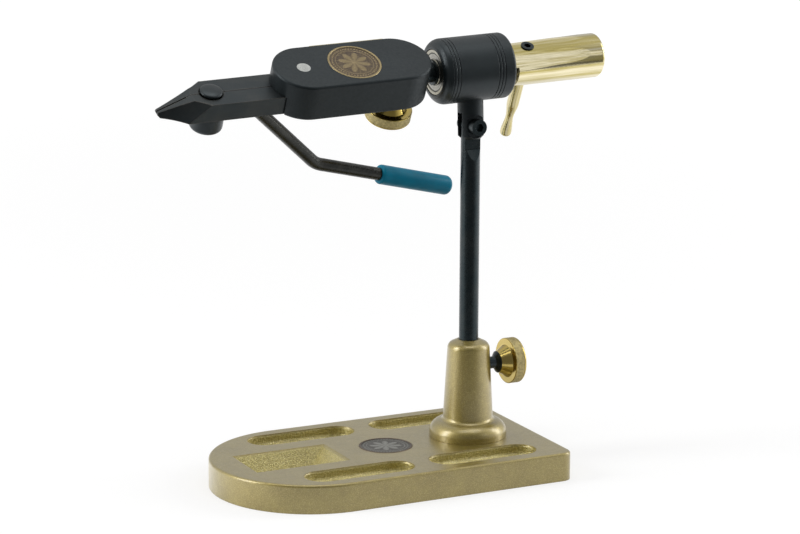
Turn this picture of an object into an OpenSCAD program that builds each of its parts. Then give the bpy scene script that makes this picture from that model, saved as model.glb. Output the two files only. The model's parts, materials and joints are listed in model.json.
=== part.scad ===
// Rotary fly tying vise on a flat tray base, in millimetres.
// The origin is on the post's axis at the underside of the base, +Z is up,
// the jaws point towards -X and the tyer sits on the -Y side.

/* [Base] */
// Length of the base, from its round end to its straight edge
base_len = 167.5; // [160:0.5:220]
// Width of the base
base_w = 99; // [90:0.5:110]
// Thickness of the base
base_h = 14; // [12:0.5:20]
// Distance from the post's axis to the straight edge
base_back = 32.8; // [28:0.2:45]
// Radius of the two square corners, seen from above
base_corner_r = 6; // [3:0.5:10]
// Radius of the base's top edge
base_edge_r = 1.2; // [0.4:0.1:2]
// Length of a tool tray
tray_len = 56.4; // [40:0.2:58]
// Width of a tool tray
tray_w = 17.8; // [12:0.2:18.4]
// Depth of a tool tray
tray_depth = 6; // [4:0.5:8]
// Distance from the straight edge to the nearer trays
tray_back = 13.8; // [12:0.2:20]
// Distance of a tray's centre line from the middle of the base
tray_y = 33.6; // [31:0.2:36]
// Gap between the two trays of a row
tray_gap = 9.6; // [8:0.2:20]
// Distance of the hook pocket's middle in front of the round end's centre
pocket_off = 10.5; // [8:0.5:13]
// Length of the hook pocket at the top
pocket_len = 49; // [36:0.5:50]
// Width of the hook pocket at the top
pocket_w = 30; // [20:0.5:34]
// Depth of the hook pocket
pocket_depth = 8; // [5:0.5:9]
// Diameter of the round inlay in the base
base_badge_d = 26.2; // [18:0.2:27]

/* [Pedestal and post] */
// Diameter of the pedestal's foot
foot_d = 38.2; // [38:0.2:42]
// Height of the pedestal above the base
pedestal_h = 49; // [44:0.5:56]
// Diameter of the pedestal where the foot ends
pedestal_low_d = 24.6; // [23:0.2:25]
// Diameter of the pedestal at its shoulder
pedestal_top_d = 20.8; // [19.5:0.2:22.5]
// Diameter of the post
post_d = 9.525; // [8:0.005:10]
// Height of the tilt bolt above the base's underside
tilt_z = 169.4; // [150:0.2:200]
// Depth of the post clamp screw below the pedestal's top
clamp_drop = 13.6; // [12:0.2:18]
// How far the post can be raised
post_travel = 20; // [10:1:24]
// Thickness of the tongue at the top of the post
tongue_t = 4.7; // [4:0.1:5.5]

/* [Tilt joint] */
// Diameter of the tilt fork
fork_d = 12.6; // [12:0.1:14]
// Diameter of the tilt bolt
tilt_bolt_d = 4.8; // [4:0.1:5.2]

/* [Bearing drum] */
// Height of the rotary axis above the tilt bolt
axis_rise = 27.68; // [25:0.02:32]
// Diameter of the drum
drum_d = 31.75; // [30:0.05:36]
// How far the drum reaches in front of the post's axis
drum_front = 19.9; // [18:0.1:22]
// How far the drum reaches behind the post's axis
drum_rear = 17.7; // [15:0.1:20]
// Outer diameter of a bearing
bearing_od = 22.225; // [20:0.005:24]
// Width of a bearing
bearing_w = 7.14; // [6:0.01:8]
// Diameter of the spindle, also the bore of a bearing
spindle_d = 9.525; // [8:0.005:10]

/* [Rotary sleeve and turning handle] */
// Diameter of the brass sleeve
sleeve_d = 21.7; // [20:0.1:24]
// Where the sleeve ends, from the post's axis
sleeve_end = 69.4; // [60:0.2:84]
// Length of the turning handle outside the sleeve
turn_handle_len = 32.8; // [24:0.2:40]
// Largest diameter of the turning handle
turn_handle_d = 6.1; // [5:0.1:7]

/* [Head body] */
// Length of the head body
body_len = 80.2; // [78:0.2:92]
// Distance from the body's front end to the jaw pin
jaw_pin_front = 14.7; // [13.6:0.1:16]
// Width of the head body
body_w = 33; // [31:0.5:38]
// Thickness of the head body
body_t = 19.05; // [18:0.05:22]
// Height of the body's top face above the rotary axis
body_rise = 11.1; // [10.4:0.1:13]
// Gap between the head body and the drum
body_gap = 4.3; // [3:0.1:8]
// Radius of the body's edges
body_edge_r = 1.3; // [0.5:0.1:2.5]
// Diameter of the round inlay in the head body
head_badge_d = 25.9; // [18:0.1:27]
// Distance from the jaw pin to the middle of that inlay
head_badge_x = 26.2; // [22:0.2:27]

/* [Jaws] */
// How far the jaws reach in front of the jaw pin
jaw_reach = 71.4; // [66:0.2:90]
// Width of the two jaws together
jaw_w = 19; // [18:0.1:21]
// Height of the jaws
jaw_h = 9.525; // [9:0.005:10.5]
// Height of the jaws' top face above the rotary axis
jaw_rise = 2.1; // [1.6:0.1:3]
// Width of the two noses together
nose_w = 3.4; // [2.4:0.1:5]
// Height of the nose
nose_h = 2.7; // [2.4:0.1:4]
// Diameter of the jaw pin
jaw_pin_d = 6.6; // [5:0.1:7]
// Distance from the jaw pin to the cone pin
cone_x = 45.4; // [43:0.2:50]
// Diameter of the cone pin's domed head
button_d = 10.8; // [10.4:0.1:12.5]
// Diameter of the cap below the jaws
cap_d = 16; // [13:0.1:17]
// Height of the cap below the jaws
cap_h = 9.9; // [6:0.1:12]

/* [Lever] */
// Diameter of the lever rod
rod_d = 6.35; // [5.5:0.05:6.6]
// Distance from the jaw pin to the lever's pivot
pivot_x = 32.8; // [31:0.1:34]
// Drop of the first slanted stretch
lever_drop = 43.4; // [36:0.2:48]
// Angle of the first stretch below the jaws
lever_steep = 45; // [40:1:52]
// Angle of the handle stretch below the jaws
lever_flat = 17.6; // [10:0.2:24]
// Length of the handle stretch, grip included
handle_len = 81.2; // [72:0.2:84]
// Diameter of the moulded grip
grip_d = 9.7; // [8:0.1:12]
// Length of the moulded grip
grip_len = 43.2; // [30:0.2:50]

/* [Knobs] */
// Diameter of a brass thumb knob
knob_d = 22.6; // [18:0.2:24]
// Width of a thumb knob's rim
knob_rim_w = 6; // [4:0.1:7]

/* [Hidden] */

$fn = 96;
arc_steps = 8;          // pieces in the arc of an outline
overrun = 0.5;          // how far a cut runs past a face
run_gap = 0.05;         // radial clearance of a running fit
press_gap = 0.01;       // radial clearance of a press fit
seat_gap = 0.05;        // clearance between two faces that slide on each other
free_gap = 0.4;         // clearance around a piece that only passes through

// Rest position of the head: how far its rear is raised and its top leans to the tyer
rest_tilt = 1.8;
rest_roll = 27.2;

// Base
base_r = base_w / 2;
base_front_x = base_back - base_len;
round_x = base_front_x + base_r;
tray_end_r = 2.6;       // radius along the bottom of a tray
tray_row_x = base_back - tray_back - tray_len / 2;
pocket_floor_share = 0.62;
pocket_x = round_x - pocket_off;
badge_t = 1.1;          // thickness of an inlay
badge_rim_w = 1.0;      // width of an inlay's raised rim
badge_rim_h = 0.3;      // how far the rim stands over the field
badge_proud = 0.15;     // how far an inlay's rim stands over the face around it
badge_gap = 0.05;       // clearance around an inlay
base_badge_x = (pocket_x + pocket_len / 2 - foot_d / 2) / 2;

// Pedestal
pedestal_z = base_h;
pedestal_top_z = base_h + pedestal_h;
clamp_z = pedestal_top_z - clamp_drop;
foot_rim_h = 2.2;       // straight rim of the foot
foot_bead_r = 6;        // rounding above that rim
foot_bead_angle = 75;
foot_fillet_r = 2.1;    // fillet between the foot and the cone
foot_step_h = 10.2;     // height of the foot, fillet included
mouth_w = 0.6;          // flat ring around the post
mouth_gap = 0.1;        // clearance around the post at the mouth
shoulder_h = 4.5;       // height of the rounded shoulder
shoulder_arc_r = 3.4;   // its lower rounding
shoulder_arc_angle = 60;
bush_t = 1.5;           // wall of the slit liner
bush_slit = 1.2;        // width of the liner's slit
bush_lip = 6;           // pedestal's wall above the liner
bush_low_z = pedestal_z + seat_gap;
bush_high_z = pedestal_top_z - bush_lip;
bush_r = post_d / 2 + run_gap + bush_t;
clamp_screw_d = 6;
screw_count = 3;        // screws that hold the pedestal from below
screw_d = 5;
screw_inset = 5.7;      // screws inside the foot's edge
screw_ring_r = foot_d / 2 - screw_inset;
screw_head_r = 4.2;
screw_head_h = 5;
screw_head_z = 5.8;     // underside of the screw's head above the base's underside
screw_grip = 5;         // how far a screw enters the pedestal

// Post
post_hold = 6.6;        // what stays below the clamp screw of the raised post
post_floor_gap = 0.5;   // least gap between the post and the base's top
post_low_z = max(pedestal_z + post_floor_gap, clamp_z - post_hold - post_travel);
tongue_step = 11.6;     // tongue's step below the tilt bolt
tongue_run = 5.2;       // length of the sloped run-out below the step
step_edge = 0.6;        // flat part of the step beside the tongue

// Tilt fork
fork_low = 6.4;         // fork below the tilt bolt
fork_slot_h = 6.6;      // slot above the tilt bolt
fork_side_gap = 0.05;   // clearance on each side of the tongue
fork_chamfer = 1.5;
fork_sink = 1.6;        // how far the fork enters the drum
spigot_r = 4;
spigot_short = 0.5;     // spigot's end below the drum's inner bore
spot_r = 5.6;           // spot face around the bolt
spot_y = 4.6;           // spot face from the middle
bolt_head_r = 3.95;
bolt_head_h = 4.7;
bolt_end = 0.6;         // bolt's end past its nut
hex_share = 0.55;       // hexagon of a socket, as a share of its head
nut_r = 3.6;
nut_h = 3.4;
nut_edge = 0.5;

// Drum and bearings
drum_r = drum_d / 2;
shoulder_r = 4.7;       // rounding of the drum's front
drum_rear_r = 1.6;      // rounding of the drum's rear
groove_w = 0.45;
groove_depth = 0.35;
groove_pitch = 1.65;
groove_count = 3;
groove_front = 3.7;     // first groove behind the drum's front face
groove_back = 9.7;      // first groove of the rear group in front of the drum's rear face
front_grooves_x = -drum_front + groove_front;
rear_grooves_x = drum_rear - groove_back;
race_r = bearing_od / 2;
race_inset = 0.3;       // bearing's face behind the drum's face
drum_lip = 1.6;         // step between a bearing's seat and the drum's inner bore
lip_r = race_r - drum_lip;
outer_race_t = 1.75;
inner_race_t = 1.6;
ball_d = 3.97;
ball_count = 8;
ball_gap = 0.02;
shield_t = 0.3;
shield_gap = 0.15;      // clearance of a shield around the inner ring
shield_inset = 0.35;
race_edge = 0.3;
spindle_r = spindle_d / 2;
ball_ring_r = (race_r - outer_race_t + spindle_r + inner_race_t) / 2;
spindle_in_body = 28;   // length of the spindle inside the head body
spacer_t = 1.2;
collar_r = 6.1;         // spindle's shoulder in front of the bearing
collar_w = 1.2;
front_face_x = -drum_front + race_inset;
rear_face_x = drum_rear - race_inset;

// Drag washer and nut
washer_t = 0.6;
washer_room = 0.6;      // washer's bore around the inner ring
washer_edge = 0.6;      // washer's rim inside the outer ring
nut_x = rear_face_x + washer_t + seat_gap;
nut_t = 3.2;
drag_nut_r = 8.2;

// Sleeve
sleeve_x = drum_rear + free_gap;
sleeve_r = sleeve_d / 2;
sleeve_front_edge = 0.3;
sleeve_edge_r = 1.6;
notch_x = nut_x + nut_t + free_gap;
notch_half_angle = 115;
flat_count = 8;         // positions around the sleeve
flats_used = [-1, 0, 1];
flat_deep = 1.5;        // depth of a flat at the sleeve's front
flat_shallow = 0.75;    // depth where the run-out begins
flat_run_len = 17;      // length of the run-out
flat_back = 8;          // end of the run-out in front of the sleeve's end
flat_front_r = sleeve_r - flat_deep;
flat_r = sleeve_r - flat_shallow;
flat_end_x = sleeve_end - flat_back - flat_run_len;
flat_run_r = (flat_run_len * flat_run_len + flat_shallow * flat_shallow) / (flat_shallow * 2);
flat_run_angle = asin(flat_run_len / flat_run_r);
set_screw_back = 11.2;  // set screw and turning handle behind the sleeve's front
set_screw_x = sleeve_x + set_screw_back;
set_screw_r = 3.2;
set_screw_proud = 0.8;
set_screw_floor = 2.4;  // bottom of its socket above its inner end
sleeve_bore_len = 44;
sleeve_bore_end = sleeve_x + sleeve_bore_len;
bore_end_room = 0.5;    // room behind the spindle's end
turn_handle_r = turn_handle_d / 2;
handle_root = 0.4;      // handle's inner end outside the spindle
handle_plain_share = 0.42;  // plain part of the handle
neck_share = 0.64;      // radius of the handle's waist
waist_at_share = 0.7;   // where the waist lies along the handle
end_share = 0.94;       // radius of the handle's flared end
handle_steps = 24;
end_round = 2;          // rounding of the handle's end

// Head body
body_rear_x = -drum_front - body_gap;
body_front_x = body_rear_x - body_len;
body_r = body_w / 2;
body_low = body_rise - body_t;
jaw_pin_x = body_front_x + jaw_pin_front;
cavity_side = 0.6;      // room beside the jaws
cavity_top = 0.15;      // room above the jaws
cavity_end = 0.6;       // room behind the jaws' tails, also behind the spindle's end
tail_len = 24;          // jaws behind the jaw pin
tail_gap = 1.1;         // half the gap between the tails
tail_x = jaw_pin_x + tail_len;
plate_len = 38.5;
plate_h = 11;
plate_t = 0.9;
plate_rear = 0.3;       // plate's end in front of the body's round end
plate_top = 1.1;        // plate's edge below the body's top face
plate_mid_x = body_rear_x - body_r - plate_rear - plate_len / 2;
plate_mid_n = body_rise - plate_top - plate_h / 2;
rivet_inset = 3.8;      // rivet from the plate's end
rivet_x = plate_len / 2 - rivet_inset;
rivet_r = 1.1;
rivet_len = 5;
rivet_head_r = 2;
rivet_head_h = 0.5;
rivet_top_share = 0.7;
body_screw_d = 5.2;
clamp_back = 15.3;      // body clamp screw in front of the body's rear end
clamp_x = body_rear_x - clamp_back;
body_knob_gap = 0.3;    // gap between the body and its knob
body_knob_n = body_low - body_knob_gap;
body_neck_len = 5;

// Jaws
seam = 0.04;            // half the seam between the closed jaws
jaw_low = jaw_rise - jaw_h;
jaw_half = jaw_w / 2;
nose_x = jaw_pin_x - jaw_reach;
nose_edge = 1.1;        // rounding of the tip
cone_pin_x = jaw_pin_x - cone_x;
slope_len = 16.2;       // length of the sloped top
slope_x = nose_x + slope_len;
slope_angle = atan2(jaw_h - nose_h, slope_len - nose_edge);
shoulder_top = 23.2;    // start of the hollow flank from the tip, at the top
shoulder_low = 12.8;    // and at the bottom
shoulder_x = nose_x + shoulder_top;
shoulder_angle = atan2(jaw_h, shoulder_top - shoulder_low);
flank_lean = 90 - shoulder_angle;
flank_r = 26;
flank_run = 9.8;        // from the flank's start to the nose, square to the start line
flank_deep = jaw_half - nose_w / 2;
flank_chord = norm([flank_run, flank_deep]);
flank_share = sqrt(flank_r * flank_r - flank_chord * flank_chord / 4) / flank_chord;
flank_centre_p = flank_run / 2 + flank_share * flank_deep;
flank_centre_m = (jaw_half + nose_w / 2) / 2 + flank_share * flank_run;
relief_w = 0.3;         // relief of the seam along the nose
relief_depth = 1.1;
relief_len = 14;
seam_edge = 0.25;       // bevel along the seam's top edge
knuckle_r = 5;
knuckle_gap = 0.3;
knuckle_web = 3;        // where the web to the jaw begins
knuckle_split = jaw_rise - jaw_h / 2;
pin_head_r = 4.2;
pin_head_h = 1.4;

// Cone pin, its cap and their room in the jaws
button_stand = 0.35;    // head's underside above the jaws
button_n = jaw_rise + button_stand;
button_rim_h = 0.6;
button_dome_h = 1.3;
button_gap = 0.45;
button_sink = 1.9;      // depth of the counterbore under the head
button_floor = jaw_rise - button_sink;
cone_low_r = 2.2;
cone_slope = 0.38;
cone_h = 4.7;
cone_gap = 0.05;
cone_low_n = button_n - cone_h;
eye_r = 4.6;            // eye at the lever's front
eye_t = 2.8;
eye_gap = 0.7;          // room around the eye
eye_room = 0.35;        // room above it
eye_hole_r = 2.9;
lever_n = jaw_low + rod_d / 2 + free_gap / 2;
eye_room_top = lever_n + eye_t / 2 + eye_room;
cap_gap = 0.1;
cap_top = jaw_low - cap_gap;
cap_low = cap_top - cap_h;
cap_edge = 2;
cap_top_edge = 0.4;
cap_floor = 2.5;
hub_r = 3.8;            // cap's hub below the eye
hub_gap = 0.75;
hub_top = lever_n - eye_t / 2 - hub_gap;

// Lever
pivot_s = jaw_pin_x - pivot_x;
bend_r = 14;
handle_bend_r = 14;
bend_slack = 0.03;      // a bend's rod is this much thinner than the bars beside it
bend_lap = 0.3;         // how far a bar runs into a bend
handle_turn = lever_steep - lever_flat;
steep_len = lever_drop / sin(lever_steep) - bend_r * tan(lever_steep / 2) -
    handle_bend_r * tan(handle_turn / 2);
handle_straight = handle_len - handle_bend_r * tan(handle_turn / 2);
arm_start_x = cone_pin_x + eye_r + eye_gap + free_gap;
neck_half = 2.8;        // half the width between the eye and the rod
groove_half = rod_d / 2 + free_gap / 2;
groove_room = 0.35;     // room above the rod
groove_top = lever_n + rod_d / 2 + groove_room;
groove_end = 15;        // groove's end in front of the jaw pin
groove_front_x = cone_pin_x + sqrt(pow(eye_r + eye_gap, 2) - groove_half * groove_half);
groove_end_x = jaw_pin_x - groove_end;
lever_pin_r = 1.6;
lever_pin_half = 6.6;
pin_room = 0.35;        // room around the lever's pin in the jaws
grip_edge_r = 2.6;
grip_cap = 2.2;         // grip's closed end behind the rod

// Spring between the jaws' tails
spring_back = 18;       // spring behind the jaw pin
spring_x = jaw_pin_x + spring_back;
spring_n = knuckle_split;
spring_r = 1.9;
spring_wire_d = 0.7;
spring_turns = 6;
spring_rings = 10;      // rings of points in a turn
spring_sides = 6;
spring_half = 4.6;
spring_room = 0.45;

// Knobs
knob_r = knob_d / 2;
knob_neck_r = 5.2;
knob_cone_r = 8.2;
knob_cone_w = 4.8;
knob_corner = 0.35;     // rounding of the rim beside the cone
knob_edge = 1.2;        // rounding of the rim's far edge
knob_short_neck = 0.3;
stud_r = 2.2;           // screw's end inside its knob
stud_len = 5;
collar_big_r = 5.4;     // collar in front of the post clamp knob
collar_len = 1.7;
clamp_stand = 3.3;      // bare neck between the pedestal and the collar
pedestal_at_clamp = pedestal_low_d / 2 -
    (pedestal_low_d - pedestal_top_d) / 2 * (clamp_z - pedestal_z - foot_step_h) /
    (pedestal_h - foot_step_h - shoulder_h);
collar_x = pedestal_at_clamp + clamp_stand;

// Points of an arc around c, from angle a0 to a1
function arc(c, r, a0, a1, n = arc_steps) =
    [for (i = [0:n]) c + r * [cos(a0 + (a1 - a0) * i / n), sin(a0 + (a1 - a0) * i / n)]];

// The drum's axes: X along the rotary axis, origin above the tilt bolt
module in_drum() {
    translate([0, 0, tilt_z])
        rotate([0, -rest_tilt, 0])
            translate([0, 0, axis_rise])
                children();
}

// The head's axes: the drum's, rolled about the rotary axis
module in_head() {
    in_drum()
        rotate([rest_roll, 0, 0])
            children();
}

// A round bar along X
module bar_x(x0, x1, r) {
    translate([x0, 0, 0])
        rotate([0, 90, 0])
            cylinder(h = x1 - x0, r = r);
}

// A turned shape around the X axis, its outline given as [radius, x]
module turned_x(outline) {
    rotate([0, 90, 0])
        rotate_extrude()
            polygon(outline);
}

// A slab with two round ends along X, rounded along its bottom and its top edge
module stadium(len, w, h, low_r, top_r) {
    r = w / 2;
    outline = concat([[0, 0]], arc([r - low_r, low_r], low_r, -90, 0),
        arc([r - top_r, h - top_r], top_r, 0, 90), [[0, h]]);
    for (side = [-1, 1])
        translate([side * (len / 2 - r), 0, 0])
            rotate_extrude()
                polygon(outline);
    translate([-(len / 2 - r), 0, 0])
        rotate([90, 0, 90])
            linear_extrude(len - w)
                union() {
                    polygon(outline);
                    mirror([1, 0])
                        polygon(outline);
                }
}

// A socket cap screw's head along +Z with its hexagon socket
module socket_head(r, h) {
    difference() {
        cylinder(h = h, r = r);
        translate([0, 0, h / 2])
            cylinder(h = h, r = r * hex_share, $fn = 6);
    }
}

// A brass thumb knob along +Z from its narrow end, with a blind hole for its screw
module thumb_knob(neck_len, screw_r) {
    rim_z = neck_len + knob_cone_w;
    outline = concat([[0, 0], [knob_neck_r, 0], [knob_neck_r, neck_len], [knob_cone_r, rim_z],
            [knob_r - knob_corner, rim_z]],
        arc([knob_r - knob_corner, rim_z + knob_corner], knob_corner, -90, 0),
        arc([knob_r - knob_edge, rim_z + knob_rim_w - knob_edge], knob_edge, 0, 90),
        [[0, rim_z + knob_rim_w]]);
    difference() {
        rotate_extrude()
            polygon(outline);
        translate([0, 0, -overrun])
            cylinder(h = stud_len + overrun, r = screw_r + press_gap);
    }
}

// A round inlay, its field lower than its rim, from z = 0 up
module inlay(d) {
    rotate_extrude()
        polygon([[0, 0], [d / 2, 0], [d / 2, badge_t], [d / 2 - badge_rim_w, badge_t],
            [d / 2 - badge_rim_w, badge_t - badge_rim_h], [0, badge_t - badge_rim_h]]);
}

// A pocket whose four walls slope, cut from z = 0 down
module hopper(len, w, depth, floor_share) {
    intersection() {
        rotate([90, 0, 0])
            linear_extrude(w * 2, center = true)
                polygon([[-len * floor_share / 2, -depth], [len * floor_share / 2, -depth],
                    [len / 2, 0], [len / 2, overrun], [-len / 2, overrun], [-len / 2, 0]]);
        rotate([90, 0, 90])
            linear_extrude(len * 2, center = true)
                polygon([[-w * floor_share / 2, -depth], [w * floor_share / 2, -depth],
                    [w / 2, 0], [w / 2, overrun], [-w / 2, overrun], [-w / 2, 0]]);
    }
}

module base_blank() {
    side = concat([[0, 0]], [[base_r, 0]], arc([base_r - base_edge_r, base_h - base_edge_r],
        base_edge_r, 0, 90), [[0, base_h]]);
    corner = concat([[0, 0]], [[base_corner_r, 0]],
        arc([base_corner_r - base_edge_r, base_h - base_edge_r], base_edge_r, 0, 90), [[0, base_h]]);
    translate([round_x, 0, 0])
        rotate_extrude()
            polygon(side);
    translate([round_x, 0, 0])
        rotate([90, 0, 90])
            linear_extrude(base_back - base_corner_r - round_x)
                union() {
                    polygon(side);
                    mirror([1, 0])
                        polygon(side);
                }
    for (side_y = [-1, 1])
        translate([base_back - base_corner_r, side_y * (base_r - base_corner_r), 0])
            rotate_extrude()
                polygon(corner);
    translate([base_back - base_corner_r, base_r - base_corner_r, 0])
        rotate([90, 0, 0])
            linear_extrude(base_w - base_corner_r * 2)
                polygon(corner);
}

module base_plate() {
    color([0.62, 0.58, 0.44])
        difference() {
            base_blank();
            for (row = [-1, 1], step = [0, 1])
                translate([tray_row_x - step * (tray_len + tray_gap), row * tray_y,
                        base_h - tray_depth])
                    stadium(tray_len, tray_w, tray_depth + overrun, tray_end_r, 0);
            translate([pocket_x, 0, base_h])
                hopper(pocket_len, pocket_w, pocket_depth, pocket_floor_share);
            translate([base_badge_x, 0, base_h + badge_proud - badge_t])
                cylinder(h = badge_t + overrun, r = base_badge_d / 2 + badge_gap);
            pedestal_screw_places()
                union() {
                    cylinder(h = base_h, r = screw_d / 2 + press_gap);
                    translate([0, 0, -base_h])
                        cylinder(h = base_h, r = screw_head_r + free_gap);
                }
        }
}

module base_badge() {
    color([0.42, 0.39, 0.36])
        translate([base_badge_x, 0, base_h + badge_proud - badge_t])
            inlay(base_badge_d);
}

module pedestal() {
    low_r = pedestal_low_d / 2;
    top_r = pedestal_top_d / 2;
    mouth_r = post_d / 2 + mouth_w;
    color([0.62, 0.58, 0.44])
        difference() {
            translate([0, 0, pedestal_z])
                rotate_extrude()
                    polygon(concat([[0, 0], [foot_d / 2, 0]],
                        arc([foot_d / 2 - foot_bead_r, foot_rim_h], foot_bead_r, 0, foot_bead_angle),
                        arc([low_r + foot_fillet_r, foot_step_h], foot_fillet_r, -90, -180),
                        arc([top_r - shoulder_arc_r, pedestal_h - shoulder_h], shoulder_arc_r,
                            0, shoulder_arc_angle),
                        [[mouth_r, pedestal_h], [0, pedestal_h]]));
            translate([0, 0, bush_high_z - overrun])
                cylinder(h = pedestal_h, r = post_d / 2 + mouth_gap);
            translate([0, 0, pedestal_z - overrun])
                cylinder(h = bush_high_z - pedestal_z + overrun, r = bush_r + run_gap);
            translate([0, 0, clamp_z])
                rotate([0, 90, 0])
                    cylinder(h = foot_d, r = clamp_screw_d / 2 + run_gap);
            pedestal_screw_places()
                cylinder(h = base_h - screw_head_z + screw_grip, r = screw_d / 2 + press_gap);
        }
}

module pedestal_screw_places() {
    for (turn = [0:screw_count - 1])
        rotate([0, 0, turn * 360 / screw_count])
            translate([screw_ring_r, 0, screw_head_z])
                children();
}

module pedestal_screws() {
    color([0.25, 0.25, 0.26])
        pedestal_screw_places()
            union() {
                cylinder(h = base_h - screw_head_z + screw_grip, r = screw_d / 2);
                mirror([0, 0, 1])
                    socket_head(screw_head_r, screw_head_h);
            }
}

module post_bush() {
    color([0.75, 0.70, 0.55])
        translate([0, 0, bush_low_z])
            difference() {
                cylinder(h = bush_high_z - bush_low_z - seat_gap, r = bush_r);
                translate([0, 0, -overrun])
                    cylinder(h = pedestal_top_z, r = post_d / 2 + run_gap);
                translate([-bush_r - overrun, -bush_slit / 2, -overrun])
                    cube([bush_r, bush_slit, pedestal_top_z]);
            }
}

module post_clamp_screw() {
    color([0.1, 0.1, 0.11])
        translate([0, 0, clamp_z])
            turned_x([[0, bush_r + seat_gap], [clamp_screw_d / 2, bush_r + seat_gap],
                [clamp_screw_d / 2, collar_x], [collar_big_r, collar_x + collar_len],
                [stud_r, collar_x + collar_len],
                [stud_r, collar_x + collar_len + stud_len], [0, collar_x + collar_len + stud_len]]);
}

module post_clamp_knob() {
    color([0.80, 0.70, 0.38])
        translate([collar_x + collar_len, 0, clamp_z])
            rotate([0, 90, 0])
                thumb_knob(knob_short_neck, stud_r);
}

module post() {
    cheek = post_d;
    step_z = tilt_z - tongue_step;
    color([0.11, 0.12, 0.13])
        difference() {
            union() {
                translate([0, 0, post_low_z])
                    cylinder(h = tilt_z - post_low_z, r = post_d / 2);
                translate([0, tongue_t / 2, tilt_z])
                    rotate([90, 0, 0])
                        cylinder(h = tongue_t, r = post_d / 2);
            }
            for (side = [0, 1])
                mirror([0, side, 0])
                    rotate([90, 0, 90])
                        linear_extrude(post_d + overrun * 2, center = true)
                            polygon([[tongue_t / 2, step_z], [tongue_t / 2, tilt_z + post_d],
                                [cheek, tilt_z + post_d], [cheek, step_z - tongue_run],
                                [post_d / 2, step_z - tongue_run], [tongue_t / 2 + step_edge, step_z]]);
            translate([0, cheek, tilt_z])
                rotate([90, 0, 0])
                    cylinder(h = cheek * 2, r = tilt_bolt_d / 2 + run_gap);
        }
}

module tilt_fork() {
    color([0.09, 0.10, 0.11])
        in_drum()
            difference() {
                union() {
                    translate([0, 0, -axis_rise - fork_low])
                        rotate_extrude()
                            polygon([[0, 0], [fork_d / 2 - fork_chamfer, 0], [fork_d / 2, fork_chamfer],
                                [fork_d / 2, axis_rise + fork_low - drum_r + fork_sink],
                                [0, axis_rise + fork_low - drum_r + fork_sink]]);
                    translate([0, 0, -drum_r])
                        cylinder(h = drum_r - lip_r - spigot_short, r = spigot_r);
                }
                translate([-fork_d, -tongue_t / 2 - fork_side_gap, -axis_rise - fork_low - overrun])
                    cube([fork_d * 2, tongue_t + fork_side_gap * 2, fork_low + fork_slot_h + overrun]);
                for (side = [-1, 1])
                    translate([0, side * (spot_y + fork_d / 2), -axis_rise])
                        rotate([90, 0, 0])
                            cylinder(h = fork_d, r = spot_r, center = true);
                translate([0, fork_d, -axis_rise])
                    rotate([90, 0, 0])
                        cylinder(h = fork_d * 2, r = tilt_bolt_d / 2 + run_gap);
            }
}

module tilt_bolt() {
    color([0.08, 0.08, 0.09])
        in_drum()
            translate([0, -spot_y, -axis_rise])
                union() {
                    rotate([-90, 0, 0])
                        cylinder(h = spot_y * 2 + nut_h + bolt_end, r = tilt_bolt_d / 2);
                    rotate([90, 0, 0])
                        socket_head(bolt_head_r, bolt_head_h);
                }
}

module tilt_nut() {
    color([0.08, 0.08, 0.09])
        in_drum()
            translate([0, spot_y, -axis_rise])
                rotate([-90, 0, 0])
                    difference() {
                        rotate_extrude()
                            polygon(concat([[0, 0], [nut_r, 0]],
                                arc([nut_r - nut_edge, nut_h - nut_edge], nut_edge, 0, 90), [[0, nut_h]]));
                        translate([0, 0, -overrun])
                            cylinder(h = nut_h + overrun * 2, r = tilt_bolt_d / 2 + press_gap);
                    }
}

// A group of ring grooves around the drum, going to the rear
module groove_group(x) {
    for (i = [0:groove_count - 1])
        turned_x([[drum_r - groove_depth, x + i * groove_pitch],
            [drum_r + overrun, x + i * groove_pitch],
            [drum_r + overrun, x + i * groove_pitch + groove_w],
            [drum_r - groove_depth, x + i * groove_pitch + groove_w]]);
}

module drum_housing() {
    seat_r = race_r + press_gap;
    color([0.12, 0.13, 0.15])
        in_drum()
            difference() {
                turned_x(concat(
                    [[seat_r, -drum_front]],
                    arc([drum_r - shoulder_r, -drum_front + shoulder_r], shoulder_r, -90, 0),
                    arc([drum_r - drum_rear_r, drum_rear - drum_rear_r], drum_rear_r, 0, 90),
                    [[seat_r, drum_rear], [seat_r, rear_face_x - bearing_w],
                        [lip_r, rear_face_x - bearing_w], [lip_r, front_face_x + bearing_w],
                        [seat_r, front_face_x + bearing_w]]));
                translate([0, 0, -drum_r - overrun])
                    cylinder(h = overrun + fork_sink, r = fork_d / 2 + press_gap);
                translate([0, 0, -drum_r])
                    cylinder(h = drum_r, r = spigot_r + press_gap);
                groove_group(front_grooves_x);
                groove_group(rear_grooves_x);
            }
}

module race_ring(x, ro, ri) {
    in_drum()
        difference() {
            turned_x([[ri, x + race_edge], [ri + race_edge, x], [ro - race_edge, x],
                [ro, x + race_edge], [ro, x + bearing_w - race_edge], [ro - race_edge, x + bearing_w],
                [ri + race_edge, x + bearing_w], [ri, x + bearing_w - race_edge]]);
            translate([x + bearing_w / 2, 0, 0])
                rotate([0, 90, 0])
                    rotate_extrude()
                        translate([ball_ring_r, 0])
                            circle(r = ball_d / 2 + ball_gap);
        }
}

module bearing_balls(x) {
    color([0.85, 0.85, 0.87])
        in_drum()
            for (i = [0:ball_count - 1])
                rotate([i * 360 / ball_count, 0, 0])
                    translate([x + bearing_w / 2, 0, ball_ring_r])
                        sphere(r = ball_d / 2, $fn = 32);
}

module bearing_shield(x) {
    color([0.68, 0.69, 0.70])
        in_drum()
            turned_x([[spindle_r + inner_race_t + shield_gap, x], [race_r - outer_race_t, x],
                [race_r - outer_race_t, x + shield_t], [spindle_r + inner_race_t + shield_gap, x + shield_t]]);
}

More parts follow.
